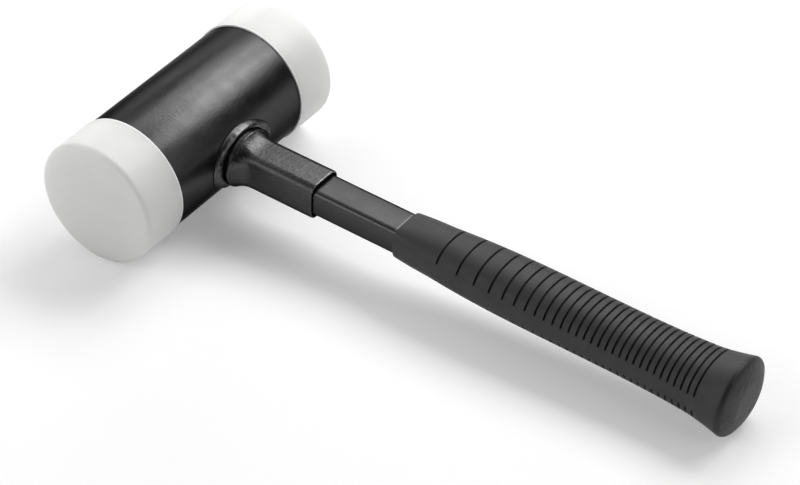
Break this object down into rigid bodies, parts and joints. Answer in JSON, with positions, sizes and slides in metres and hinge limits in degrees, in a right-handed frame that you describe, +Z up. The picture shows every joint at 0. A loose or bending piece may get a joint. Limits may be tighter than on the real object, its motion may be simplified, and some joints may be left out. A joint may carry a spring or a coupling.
{
  "type": "dead blow hammer",
  "caption": "Dead blow mallet: a steel tube head holding loose shot between replaceable nylon inserts, welded to a steel handle with a grooved rubber grip.",
  "frame": {"origin": "under the middle of the tool's box, on the surface that it lies on", "axes": "+X from the head towards the butt, +Y along the head from the front insert to the rear one, +Z up as the tool lies"},
  "size_m": [0.3192, 0.1368, 0.06],
  "materials": {
    "head_paint": "satin black paint",
    "neck_paint": "black paint with a slightly uneven skin",
    "steel": "bare steel",
    "nylon": "white nylon, satin",
    "rubber": "matte black rubber"
  },
  "bodies": {
    "tool": {"head_tube": "head_paint", "front_partition": "steel", "rear_partition": "steel", "neck_sleeve": "neck_paint", "neck_weld": "neck_paint", "handle_tube": "head_paint", "grip": "rubber"},
    "shot": {"steel_shot": "steel"},
    "front_insert": {"front_insert": "nylon"},
    "rear_insert": {"rear_insert": "nylon"}
  },
  "joints": [
    {"name": "shot_slide", "type": "slide", "parent": "tool", "child": "shot", "axis": [0, 1, 0], "range_m": [-0.0087, 0.0087]},
    {"name": "front_insert_pull", "type": "slide", "parent": "tool", "child": "front_insert", "axis": [0, -1, 0], "range_m": [0, 0.02]},
    {"name": "rear_insert_pull", "type": "slide", "parent": "tool", "child": "rear_insert", "axis": [0, 1, 0], "range_m": [0, 0.02]}
  ]
}
